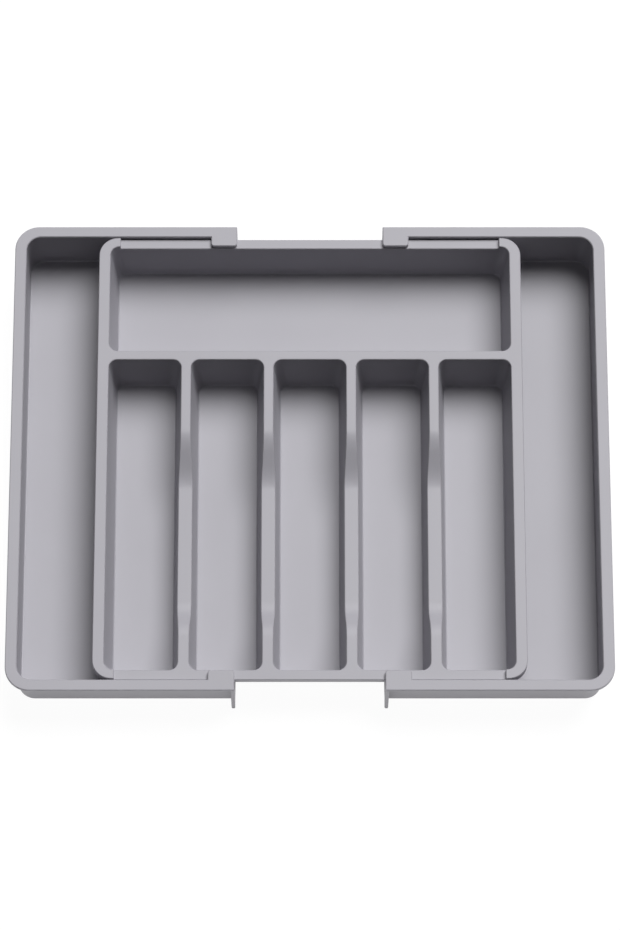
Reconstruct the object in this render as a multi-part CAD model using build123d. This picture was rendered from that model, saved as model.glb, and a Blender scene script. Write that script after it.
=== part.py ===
"""Expanding cutlery tray: a centre tray with a wide back compartment and five slots, which rests in two
side trays. Each side tray slides out sideways from under the centre tray and is held to it by a hook over the
centre tray's lowered front rail and another over its back rail. Eight rubber feet stand under the side trays.

Frame: +X right, +Y back, +Z up, origin under the middle of the tray at the feet's lower faces.
The tray is drawn part open, as it stands in the picture. All lengths are in millimetres.
"""

import os

from build123d import *

# Whole tray
tray_depth = 405.0          # front to back, over the side trays' rims
tray_height = 52.0          # from the feet's lower faces to the rims
overrun = 5.0               # how far a cutting solid reaches past what it cuts
match = 0.01                # how close an edge must lie to the place that it is picked by

# Moulded walls, alike in the three trays
wall = 2.0
floor_thickness = 2.0
rim_thickness = 2.2         # the flat tops of rims, rails and dividers
top_bevel = 0.5             # softening of the centre tray's top edges
rim_bevel = 0.7             # softening of the side trays' rims and hooks

# Side trays
side_length = 185.2         # from the open inner end to the outer rim's edge
side_opening = 60.8         # from the tray's middle to each inner end, as it stands in the picture
side_end_rim = 9.6          # width of the flat rim at the outer end
side_long_rim = 9.25        # width of the flat rim at the front and back
side_corner = 20.0          # outer corner radius of the rim
side_lean_x = 0.4           # how far the end wall leans in, from rim to floor
side_lean_y = 1.2           # how far the front and back walls lean in
side_pocket_corner = 12.0   # corner radius of the compartment
side_pocket_round = 1.2     # where floor meets wall, inside
side_pocket_bevel = 2.4     # where floor meets wall, underneath
skirt_height = 23.1         # the outer skirt that hangs from the rim
end_web = 3.0               # thickness of the web that closes the skirt at the inner end
end_web_lift = 0.5          # the web's lower end stands this far above the floor's underside
web_root_round = 1.6        # where the skirt's lower edge turns into the web
web_bevel = 0.6

# Hooks of the side trays, over the centre tray's rails
hook_length = 21.6
hook_thickness = 3.6
hook_corner = 2.6
hook_cover = 7.3            # how far the hook reaches over the rail, which is a little wider

# Centre tray
centre_width = 351.3
centre_corner = 15.5        # outer corner radius of the rim
centre_rim = 9.25           # width of the flat rim at the left and right
centre_rail = 7.85          # width of the front and back rails
rail_end_flat = 1.2         # straight rim between a pocket's corner and the end of a lowered rail
lip_height = 9.8            # the down-turned edge round the rim, measured from the raised corners
slot_count = 5
slot_divider = 8.0          # width of a slot divider's flat top
cross_divider = 7.6         # the same of the divider between the back compartment and the slots
cross_divider_place = 87.2  # the middle of that divider
slot_lean = 5.3             # how far the left and right walls of a pocket lean in, from rim to floor
long_lean = 5.0             # the same for front and back walls
pocket_corner = 7.2         # corner radius of a pocket
pocket_inner_bevel = 0.8    # where floor meets wall, inside
pocket_outer_bevel = 1.3    # where floor meets wall, underneath

# Finger dips in the tops of the four slot dividers, as places along Y
dip_depth = 15.3
dip_back_top = 24.0         # where the dip starts, at full height
dip_back_foot = -21.5
dip_front_foot = -122.5
dip_front_top = -156.0      # where it ends, at the rail's height

# Running clearances
hook_gap = 0.3              # under the hooks, above the rails
slide_gap = 0.3             # under the centre tray, above the side trays' floors
guide_gap = 0.85            # between the centre tray's lip and the side trays' walls, front and back
stop_gap = 0.3              # between a hook and the raised corner that stops it
meeting_gap = 1.0           # between the two inner ends when the tray is closed

# Rubber feet
foot_width = 12.0
foot_corner = 2.5
foot_height = 1.5
foot_inset = 20.0           # from the compartment's walls and the inner end to a foot's centre

# Heights worked out from the sizes above
rim_z = tray_height
side_bottom_z = foot_height
side_floor_z = side_bottom_z + floor_thickness
centre_bottom_z = side_floor_z + slide_gap
centre_floor_z = centre_bottom_z + floor_thickness
rail_z = rim_z - hook_thickness - hook_gap
dip_z = rim_z - dip_depth
lip_z = rim_z - lip_height

# Places worked out from the sizes above
tray_half_y = tray_depth / 2
side_inner_y = tray_half_y - side_long_rim
side_outer_x = side_opening + side_length
centre_half_x = centre_width / 2
centre_half_y = side_inner_y - guide_gap
pocket_half_x = centre_half_x - centre_rim
pocket_half_y = centre_half_y - centre_rail
rail_half = pocket_half_x - pocket_corner - rail_end_flat
hook_inner_y = centre_half_y - hook_cover
slot_pitch = (2 * pocket_half_x + slot_divider) / slot_count
cross_back_y = cross_divider_place + cross_divider / 2
cross_front_y = cross_divider_place - cross_divider / 2

# How far each side tray slides from the place where it is drawn
travel_out = rail_half - stop_gap - hook_length - side_opening
travel_in = side_opening - meeting_gap / 2


class Pocket:
    """A pocket with flat walls that lean in from the rim to a smaller floor, and rounded upright corners."""

    def __init__(self, x_range, y_range, leans, corner, floor_z):
        self.ranges = (x_range, y_range)
        self.leans = leans
        self.corner = corner
        self.floor_z = floor_z

    def profile(self, axis, low_z, high_z, grow):
        """The pocket cut along X (axis 0) or Y (axis 1): four corners between two heights."""
        low, high = self.ranges[axis]
        slope = self.leans[axis] / (rim_z - self.floor_z)
        below, above = (slope * (rim_z - z) - grow for z in (low_z, high_z))
        corners = [(low + below, low_z), (high - below, low_z),
                   (high - above, high_z), (low + above, high_z)]
        return make_face(Polyline(*corners, close=True))

    def space(self, low_z, high_z, grow=0):
        """The pocket's space between two heights, larger all round by grow."""
        along_x = extrude(Plane.XZ * self.profile(0, low_z, high_z, grow), tray_depth, both=True)
        along_y = extrude(Plane.YZ * self.profile(1, low_z, high_z, grow), tray_depth, both=True)
        body = along_x & along_y
        corners = body.edges().filter_by(lambda edge: abs(edge.tangent_at(0.5).Z) > 0.5)
        return fillet(corners, self.corner + grow)


def lowest_edges(body):
    """The edges round a body's lowest face."""
    return body.faces().sort_by(Axis.Z)[0].edges()


def at(place, value):
    """Whether a coordinate lies at a place, on either side of the middle."""
    return abs(abs(value) - place) < match


def rounded_block(x_low, x_high, half_y, corner, low_z, high_z):
    """A block with rounded upright edges, from one height to another."""
    place = Pos((x_low + x_high) / 2, 0, low_z)
    return extrude(place * RectangleRounded(x_high - x_low, 2 * half_y, corner), high_z - low_z)


def block(x_low, x_high, y_low, y_high, z_low, z_high):
    """A plain block between two corners."""
    size = (x_high - x_low, y_high - y_low, z_high - z_low)
    return Pos((x_low + x_high) / 2, (y_low + y_high) / 2, (z_low + z_high) / 2) * Box(*size)


def centre_pockets():
    """The back compartment and the row of slots in front of it."""
    form = ((slot_lean, long_lean), pocket_corner, centre_floor_z)
    pockets = [Pocket((-pocket_half_x, pocket_half_x), (cross_back_y, pocket_half_y), *form)]
    for index in range(slot_count):
        low_x = -pocket_half_x + index * slot_pitch
        x_range = (low_x, low_x + slot_pitch - slot_divider)
        pockets.append(Pocket(x_range, (-pocket_half_y, cross_front_y), *form))
    return pockets


def above_middle(half_length, drop):
    """Everything above the tops of rails and slot dividers, lowered by drop, between the raised corners."""
    front_y = -centre_half_y - overrun
    compartment_y = (cross_back_y + pocket_half_y) / 2
    rail, dip, rim = rail_z - drop, dip_z - drop, rim_z - drop
    front_mid = (dip_front_top + dip_front_foot) / 2
    back_mid = (dip_back_foot + dip_back_top) / 2
    above = rim_z + overrun
    top = Polyline((dip_back_top, rim), (compartment_y, rim), (compartment_y, rail), (-front_y, rail),
                   (-front_y, above), (front_y, above), (front_y, rail), (dip_front_top, rail))
    front_slope = Bezier((dip_front_top, rail), (front_mid, rail), (front_mid, dip), (dip_front_foot, dip))
    bottom = Line((dip_front_foot, dip), (dip_back_foot, dip))
    back_slope = Bezier((dip_back_foot, dip), (back_mid, dip), (back_mid, rim), (dip_back_top, rim))
    face = make_face([top, front_slope, bottom, back_slope])
    return extrude(Plane.YZ * face, half_length, both=True)


def top_edges(body):
    """Edges round the centre tray's upper faces, without the seams between two of them."""
    found = {}
    for face in body.faces():
        if face.normal_at(face.center()).Z > 0.5 and face.center().Z > dip_z - wall:
            for edge in face.edges():
                found.setdefault(tuple(round(value, 2) for value in edge @ 0.5), []).append(edge)
    outlines = [edges[0] for edges in found.values()
                if len(edges) == 1 and not at(rail_half, (edges[0] @ 0.5).X)]
    rail_ends = [edge for edge in body.edges()
                 if at(rail_half, (edge @ 0.5).X) and (edge @ 0.5).Z > rail_z + match]
    return outlines + rail_ends


def centre_tray():
    """The upper tray: one moulding with thin walls, open underneath between its pockets."""
    skin_low = dip_z - rim_thickness - overrun
    outline = rounded_block(-centre_half_x, centre_half_x, centre_half_y, centre_corner, skin_low, rim_z)
    inner = rounded_block(-centre_half_x + wall, centre_half_x - wall, centre_half_y - wall,
                          centre_corner - wall, skin_low - overrun, rim_z - rim_thickness)
    cut = above_middle(rail_half, 0)
    underside = inner - above_middle(rail_half + wall, rim_thickness)
    below_lip = rounded_block(-centre_half_x - overrun, centre_half_x + overrun, centre_half_y + overrun,
                              centre_corner, skin_low - overrun, lip_z) - inner
    cups, spaces = [], []
    for pocket in centre_pockets():
        cup = pocket.space(centre_bottom_z, rim_z, wall)
        space = pocket.space(centre_floor_z, rim_z + overrun)
        cups.append(chamfer(lowest_edges(cup), pocket_outer_bevel))
        spaces.append(chamfer(lowest_edges(space), pocket_inner_bevel))
    body = outline - cut - underside - below_lip
    body = body + cups - cut - spaces
    return chamfer(top_edges(body), top_bevel)


def right_side_tray():
    """One side tray: a wide shallow moulding, open at its inner end, with a rim, a skirt and two hooks."""
    pocket = Pocket((-side_outer_x, side_outer_x - side_end_rim), (-side_inner_y, side_inner_y),
                    (side_lean_x, side_lean_y), side_pocket_corner, side_floor_z)
    cup = pocket.space(side_bottom_z, rim_z, wall)
    space = pocket.space(side_floor_z, rim_z + overrun)
    skirt_z = rim_z - skirt_height
    rim = rounded_block(-side_outer_x, side_outer_x, tray_half_y, side_corner, skirt_z, rim_z)
    rim -= rounded_block(-side_outer_x, side_outer_x - wall, tray_half_y - wall, side_corner - wall,
                         skirt_z - overrun, rim_z - rim_thickness)
    web_x = side_opening + end_web
    web_z = side_bottom_z + end_web_lift
    body = chamfer(lowest_edges(cup), side_pocket_bevel) + rim
    body += block(side_opening, web_x, -tray_half_y, tray_half_y, web_z, rim_z)
    body -= fillet(lowest_edges(space), side_pocket_round)
    body -= block(-side_outer_x - overrun, side_opening, -tray_depth, tray_depth, -overrun, rim_z + overrun)

    hook_z = rim_z - hook_thickness
    reach = side_inner_y + side_long_rim / 2 - hook_inner_y
    for side in (-1, 1):
        place = Pos(side_opening + hook_length / 2, side * (hook_inner_y + reach / 2), hook_z)
        body += extrude(place * RectangleRounded(hook_length, reach, hook_corner), hook_thickness)

    roots = [edge for edge in body.edges().filter_by(Axis.Y)
             if at(web_x, (edge @ 0.5).X) and at(skirt_z, (edge @ 0.5).Z)]
    body = fillet(roots, web_root_round)
    web_edges = [edge for edge in body.edges().filter_by(Axis.Z)
                 if at(tray_half_y, (edge @ 0.5).Y) and (edge @ 0.5).X < web_x + match]
    web_edges += [edge for edge in body.edges().filter_by(Axis.Y)
                  if at(web_z, (edge @ 0.5).Z) and (edge @ 0.5).X < web_x + match]
    body = chamfer(web_edges, web_bevel)
    return chamfer(body.faces().sort_by(Axis.Z)[-1].edges(), rim_bevel)


def foot_places():
    """Centres of the four feet under the right side tray, by name."""
    near, far = side_opening + foot_inset, side_outer_x - side_end_rim - foot_inset
    reach = side_inner_y - foot_inset
    return {"front_inner": (near, -reach), "front_outer": (far, -reach),
            "back_inner": (near, reach), "back_outer": (far, reach)}


def foot(x, y):
    """A rubber pad with rounded corners, stuck under a side tray's floor."""
    return extrude(Pos(x, y, 0) * RectangleRounded(foot_width, foot_width, foot_corner), foot_height)


def main():
    os.makedirs("parts", exist_ok=True)
    export_step(centre_tray(), "parts/centre_tray.step")
    right_tray = right_side_tray()
    export_step(right_tray, "parts/right_side_tray.step")
    export_step(mirror(right_tray, Plane.YZ), "parts/left_side_tray.step")
    for name, (x, y) in foot_places().items():
        export_step(foot(x, y), f"parts/right_foot_{name}.step")
        export_step(foot(-x, y), f"parts/left_foot_{name}.step")
    print(f"Each side tray slides {travel_out:.1f} mm out and {travel_in:.1f} mm in from where it is drawn")


main()
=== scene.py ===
"""Looks of the expanding cutlery tray: three matte grey mouldings and eight rubber feet on a white floor.

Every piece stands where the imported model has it, in metres, with +X right, +Y back and +Z up.
"""

import math

import bpy
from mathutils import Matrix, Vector


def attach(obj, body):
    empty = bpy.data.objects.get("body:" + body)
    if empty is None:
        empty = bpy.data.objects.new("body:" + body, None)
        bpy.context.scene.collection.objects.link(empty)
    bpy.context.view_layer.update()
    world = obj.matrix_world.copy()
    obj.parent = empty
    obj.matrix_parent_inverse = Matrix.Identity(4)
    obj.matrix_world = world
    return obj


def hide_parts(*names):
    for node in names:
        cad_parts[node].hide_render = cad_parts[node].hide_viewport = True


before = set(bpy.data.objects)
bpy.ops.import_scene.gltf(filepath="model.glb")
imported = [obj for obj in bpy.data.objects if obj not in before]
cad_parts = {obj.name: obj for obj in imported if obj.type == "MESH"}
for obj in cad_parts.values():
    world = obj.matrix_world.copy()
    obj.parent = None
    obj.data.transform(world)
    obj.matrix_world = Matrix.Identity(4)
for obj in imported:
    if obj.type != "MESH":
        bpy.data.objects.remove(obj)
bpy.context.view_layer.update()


# Centre tray
# The upper moulding, with a wide compartment at the back and five slots with finger dips in front of it.
# It is injection moulded in light grey plastic, with a fine matte grain from the mould.
MM = 0.001
JOIN_DISTANCE = 0.005 * MM          # corners of neighbouring faces closer than this are one
FLAT_ANGLE = math.radians(0.5)      # neighbouring faces closer than this in slope are one flat face
SMOOTH_ANGLE = math.radians(38)     # faces that meet at less than this shade as one curve
CUP_BEVEL = (5.05 * MM, 5.15 * MM, 1.6 * MM)    # the bevel under each pocket reaches higher
DIP_FOOT, DIP_TOP = -21.5 * MM, 24.0 * MM       # the ends of each finger dip's back slope, front to back
DIP_CORNERS_ABOVE = 33.0 * MM       # what stands higher than this between them belongs to a dip
DIP_FORWARD = 3.2 * MM              # how far the slope's middle moves to the front
DIP_LONGER = 0.7 * MM               # how far each of its ends moves away from the middle
DIP_STRAIGHTER = 2.3 * MM           # how much further the corners half way to its ends move away
GREY_DARKER = (0.334, 0.326, 0.358, 1)
GREY_LIGHTER = (0.350, 0.342, 0.375, 1)
PLASTIC_IOR = 1.46
TONE_SCALE = 9.0                    # the drift of tone, in waves per metre
TONE_DETAIL = 3
TONE_LOW, TONE_HIGH = 0.3, 0.7
GRAIN_SCALE = 2600.0                # the mould's grain, in waves per metre
GRAIN_DETAIL = 2
GRAIN_DEPTH = 0.02 * MM
GRAIN_STRENGTH = 0.25
SMOOTHEST, ROUGHEST = 0.42, 0.54


def moulded_grey():
    """Light grey plastic with a slight drift of tone and a fine matte grain."""
    material = bpy.data.materials.new("moulded_grey")
    material.use_nodes = True
    nodes, links = material.node_tree.nodes, material.node_tree.links
    shader = nodes["Principled BSDF"]
    shader.inputs["IOR"].default_value = PLASTIC_IOR
    place = nodes.new("ShaderNodeTexCoord")

    tone = nodes.new("ShaderNodeTexNoise")
    tone.inputs["Scale"].default_value = TONE_SCALE
    tone.inputs["Detail"].default_value = TONE_DETAIL
    shades = nodes.new("ShaderNodeValToRGB")
    darker, lighter = shades.color_ramp.elements
    darker.position, darker.color = TONE_LOW, GREY_DARKER
    lighter.position, lighter.color = TONE_HIGH, GREY_LIGHTER
    links.new(place.outputs["Object"], tone.inputs["Vector"])
    links.new(tone.outputs["Fac"], shades.inputs["Fac"])
    links.new(shades.outputs["Color"], shader.inputs["Base Color"])

    grain = nodes.new("ShaderNodeTexNoise")
    grain.inputs["Scale"].default_value = GRAIN_SCALE
    grain.inputs["Detail"].default_value = GRAIN_DETAIL
    gloss = nodes.new("ShaderNodeMapRange")
    gloss.inputs["To Min"].default_value = SMOOTHEST
    gloss.inputs["To Max"].default_value = ROUGHEST
    bump = nodes.new("ShaderNodeBump")
    bump.inputs["Strength"].default_value = GRAIN_STRENGTH
    bump.inputs["Distance"].default_value = GRAIN_DEPTH
    links.new(place.outputs["Object"], grain.inputs["Vector"])
    links.new(grain.outputs["Fac"], gloss.inputs["Value"])
    links.new(gloss.outputs["Result"], shader.inputs["Roughness"])
    links.new(grain.outputs["Fac"], bump.inputs["Height"])
    links.new(bump.outputs["Normal"], shader.inputs["Normal"])
    return material


def soften(mesh):
    """Faces that meet at a slight angle shade as one curve, and large flat faces stay flat."""
    around = [[] for vertex in mesh.vertices]
    for face in mesh.polygons:
        for corner in face.vertices:
            around[corner].append(face)
    normals = []
    for face in mesh.polygons:
        for corner in face.vertices:
            blend = Vector()
            for other in around[corner]:
                if face.normal.dot(other.normal) > math.cos(SMOOTH_ANGLE):
                    blend += other.normal * other.area
            normals.append(blend.normalized())
    mesh.normals_split_custom_set(normals)


def straighten_dips(mesh):
    """Each finger dip's back slope runs straighter and a little further forward than the solid's."""
    middle, half = (DIP_TOP + DIP_FOOT) / 2, (DIP_TOP - DIP_FOOT) / 2
    for vertex in mesh.vertices:
        along = (vertex.co.y - middle) / half
        if abs(along) < 1 + JOIN_DISTANCE / half and vertex.co.z > DIP_CORNERS_ABOVE:
            stretch = DIP_LONGER * along + DIP_STRAIGHTER * math.sin(math.pi * along)
            vertex.co.y += stretch - DIP_FORWARD


def moulding(node, name, body, material, shifts, reshape=None):
    """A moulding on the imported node's own shape, with its loose triangles joined into whole faces.

    Each shift is a band of height and a rise: the corners in that band move up by the rise, or down.
    A reshape then moves corners in its own way.
    """
    piece = bpy.data.objects.new(name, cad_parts[node].data.copy())
    bpy.context.scene.collection.objects.link(piece)
    bpy.ops.object.select_all(action="DESELECT")
    bpy.context.view_layer.objects.active = piece
    piece.select_set(True)
    bpy.ops.object.mode_set(mode="EDIT")
    bpy.ops.mesh.select_all(action="SELECT")
    bpy.ops.mesh.remove_doubles(threshold=JOIN_DISTANCE)
    for low_z, high_z, rise in shifts:
        bpy.ops.mesh.select_all(action="DESELECT")
        bpy.ops.object.mode_set(mode="OBJECT")
        for vertex in piece.data.vertices:
            vertex.select = low_z < vertex.co.z < high_z
        bpy.ops.object.mode_set(mode="EDIT")
        bpy.ops.transform.translate(value=(0, 0, rise))
    bpy.ops.mesh.select_all(action="SELECT")
    bpy.ops.mesh.dissolve_limited(angle_limit=FLAT_ANGLE)
    bpy.ops.object.mode_set(mode="OBJECT")
    if reshape:
        reshape(piece.data)
    bpy.ops.object.shade_smooth()
    soften(piece.data)
    piece.data.materials.clear()
    piece.data.materials.append(material)
    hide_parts(node)
    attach(piece, body)


grey = moulded_grey()
moulding("centre_tray", "centre_moulding", "centre", grey, [CUP_BEVEL], straighten_dips)


# Side trays
# Two mirrored mouldings that carry the centre tray and slide out from under it. Each is open at its inner
# end, where two hooks reach over the centre tray's rails. The rim's outer edge is a short lip, so the foot
# of the solid's deep skirt is raised, and the wall behind it stands free down to a small bevel at its foot.
SKIRT_FOOT = (27.0 * MM, 30.0 * MM, 19.8 * MM)
WALL_FOOT = (3.895 * MM, 3.901 * MM, -1.9 * MM)
for side in ("left", "right"):
    moulding(f"{side}_side_tray", f"{side}_moulding", side, grey, [SKIRT_FOOT, WALL_FOOT])


# Feet
# Four small rubber pads stuck under each side tray's floor, dark and slightly rough.
# They are cut from a sheet, and their solids already have the right shape.
RUBBER_DARK = (0.035, 0.035, 0.038, 1)
RUBBER_PALE = (0.055, 0.055, 0.058, 1)
RUBBER_ROUGHNESS = 0.8
SPECK_SCALE = 900.0                 # the rubber's specks, in waves per metre
rubber = bpy.data.materials.new("foot_rubber")
rubber.use_nodes = True
rubber_nodes, rubber_links = rubber.node_tree.nodes, rubber.node_tree.links
rubber_shader = rubber_nodes["Principled BSDF"]
rubber_shader.inputs["Roughness"].default_value = RUBBER_ROUGHNESS
rubber_place = rubber_nodes.new("ShaderNodeTexCoord")
specks = rubber_nodes.new("ShaderNodeTexNoise")
specks.inputs["Scale"].default_value = SPECK_SCALE
rubber_shades = rubber_nodes.new("ShaderNodeValToRGB")
rubber_shades.color_ramp.elements[0].color = RUBBER_DARK
rubber_shades.color_ramp.elements[1].color = RUBBER_PALE
rubber_links.new(rubber_place.outputs["Object"], specks.inputs["Vector"])
rubber_links.new(specks.outputs["Fac"], rubber_shades.inputs["Fac"])
rubber_links.new(rubber_shades.outputs["Color"], rubber_shader.inputs["Base Color"])
for name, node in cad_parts.items():
    if "_foot_" in name:
        node.data.materials.clear()
        node.data.materials.append(rubber)


# Floor
# A wide white surface that the feet stand on. The camera sees it white, with the tray's soft shadow on it.
# It also glows towards the tray, so that the tray's outer walls are lit from below.
FLOOR_SIZE = 30.0
FLOOR_COLOR = (0.6, 0.6, 0.6, 1)
FLOOR_UNDERLIGHT = 0.7
FLOOR_SEEN_COLOR = (0.08, 0.08, 0.08, 1)
FLOOR_SEEN_GLOW = 0.96


def seen_directly(nodes, links):
    """The part of the light path that a camera, a gloss or a clear body sees, as one switch."""
    rays = nodes.new("ShaderNodeLightPath")
    switch = rays.outputs["Is Camera Ray"]
    for other in ("Is Glossy Ray", "Is Transmission Ray"):
        either = nodes.new("ShaderNodeMath")
        either.operation = "MAXIMUM"
        links.new(switch, either.inputs[0])
        links.new(rays.outputs[other], either.inputs[1])
        switch = either.outputs[0]
    return switch


def lit_and_glowing(nodes, links, color, glow):
    """A matte surface of a colour that also gives off a plain white light."""
    matte = nodes.new("ShaderNodeBsdfDiffuse")
    matte.inputs["Color"].default_value = color
    glowing = nodes.new("ShaderNodeEmission")
    glowing.inputs["Strength"].default_value = glow
    both = nodes.new("ShaderNodeAddShader")
    links.new(matte.outputs[0], both.inputs[0])
    links.new(glowing.outputs[0], both.inputs[1])
    return both.outputs[0]


bpy.ops.object.select_all(action="DESELECT")
bpy.ops.mesh.primitive_plane_add(size=FLOOR_SIZE)
floor = bpy.context.object
floor.name = "floor"
paper = bpy.data.materials.new("white_floor")
paper.use_nodes = True
paper_nodes, paper_links = paper.node_tree.nodes, paper.node_tree.links
paper_nodes.clear()
paper_choice = paper_nodes.new("ShaderNodeMixShader")
paper_surface = paper_nodes.new("ShaderNodeOutputMaterial")
underlight = lit_and_glowing(paper_nodes, paper_links, FLOOR_COLOR, FLOOR_UNDERLIGHT)
seen_white = lit_and_glowing(paper_nodes, paper_links, FLOOR_SEEN_COLOR, FLOOR_SEEN_GLOW)
paper_links.new(seen_directly(paper_nodes, paper_links), paper_choice.inputs["Fac"])
paper_links.new(underlight, paper_choice.inputs[1])
paper_links.new(seen_white, paper_choice.inputs[2])
paper_links.new(paper_choice.outputs[0], paper_surface.inputs["Surface"])
floor.data.materials.append(paper)


# Light
# A large soft lamp far above, to the right and behind, and a faint even surround.
# The camera sees the surround as white.
SURROUND = 0.008
WHITE = (1, 1, 1, 1)
LAMP_TILT_RIGHT = math.radians(17.2)
LAMP_TILT_BACK = math.radians(28)
LAMP_SPREAD = math.radians(40)
LAMP_POWER = 3.7
world = bpy.data.worlds.new("white_surround")
world.use_nodes = True
bpy.context.scene.world = world
world_nodes, world_links = world.node_tree.nodes, world.node_tree.links
world_nodes.clear()
faint = world_nodes.new("ShaderNodeBackground")
faint.inputs["Color"].default_value = WHITE
faint.inputs["Strength"].default_value = SURROUND
white = world_nodes.new("ShaderNodeBackground")
white.inputs["Color"].default_value = WHITE
world_choice = world_nodes.new("ShaderNodeMixShader")
world_surface = world_nodes.new("ShaderNodeOutputWorld")
world_links.new(seen_directly(world_nodes, world_links), world_choice.inputs["Fac"])
world_links.new(faint.outputs[0], world_choice.inputs[1])
world_links.new(white.outputs[0], world_choice.inputs[2])
world_links.new(world_choice.outputs[0], world_surface.inputs["Surface"])

lamp = bpy.data.objects.new("softbox", bpy.data.lights.new("softbox", "SUN"))
lamp.data.angle = LAMP_SPREAD
lamp.data.energy = LAMP_POWER
lamp_side = Vector((math.tan(LAMP_TILT_RIGHT), math.tan(LAMP_TILT_BACK), 1))
lamp.location = lamp_side
lamp.rotation_euler = (-lamp_side).to_track_quat("-Z", "Y").to_euler()
bpy.context.scene.collection.objects.link(lamp)


# Camera
# A long lens that looks down on the tray from the front, at the photograph's angle and framing.
IMAGE_WIDTH_PX = 620
FOCAL_PX = 4236.7
SENSOR_WIDTH_MM = 36.0
CAMERA_ELEVATION = math.radians(70)
CAMERA_DISTANCE = 3472.7 * MM
CAMERA_REACH = 50.0
AIM = Vector((0.1 * MM, -9.6 * MM, 52 * MM))
camera = bpy.data.objects.new("camera", bpy.data.cameras.new("camera"))
camera.data.sensor_fit = "HORIZONTAL"
camera.data.sensor_width = SENSOR_WIDTH_MM
camera.data.lens = FOCAL_PX * SENSOR_WIDTH_MM / IMAGE_WIDTH_PX
camera.data.clip_end = CAMERA_REACH
camera_side = Vector((0, -math.cos(CAMERA_ELEVATION), math.sin(CAMERA_ELEVATION)))
camera.location = AIM + CAMERA_DISTANCE * camera_side
camera.rotation_euler = (math.pi / 2 - CAMERA_ELEVATION, 0, 0)
bpy.context.scene.collection.objects.link(camera)
bpy.context.scene.camera = camera
bpy.context.scene.view_settings.view_transform = "Standard"
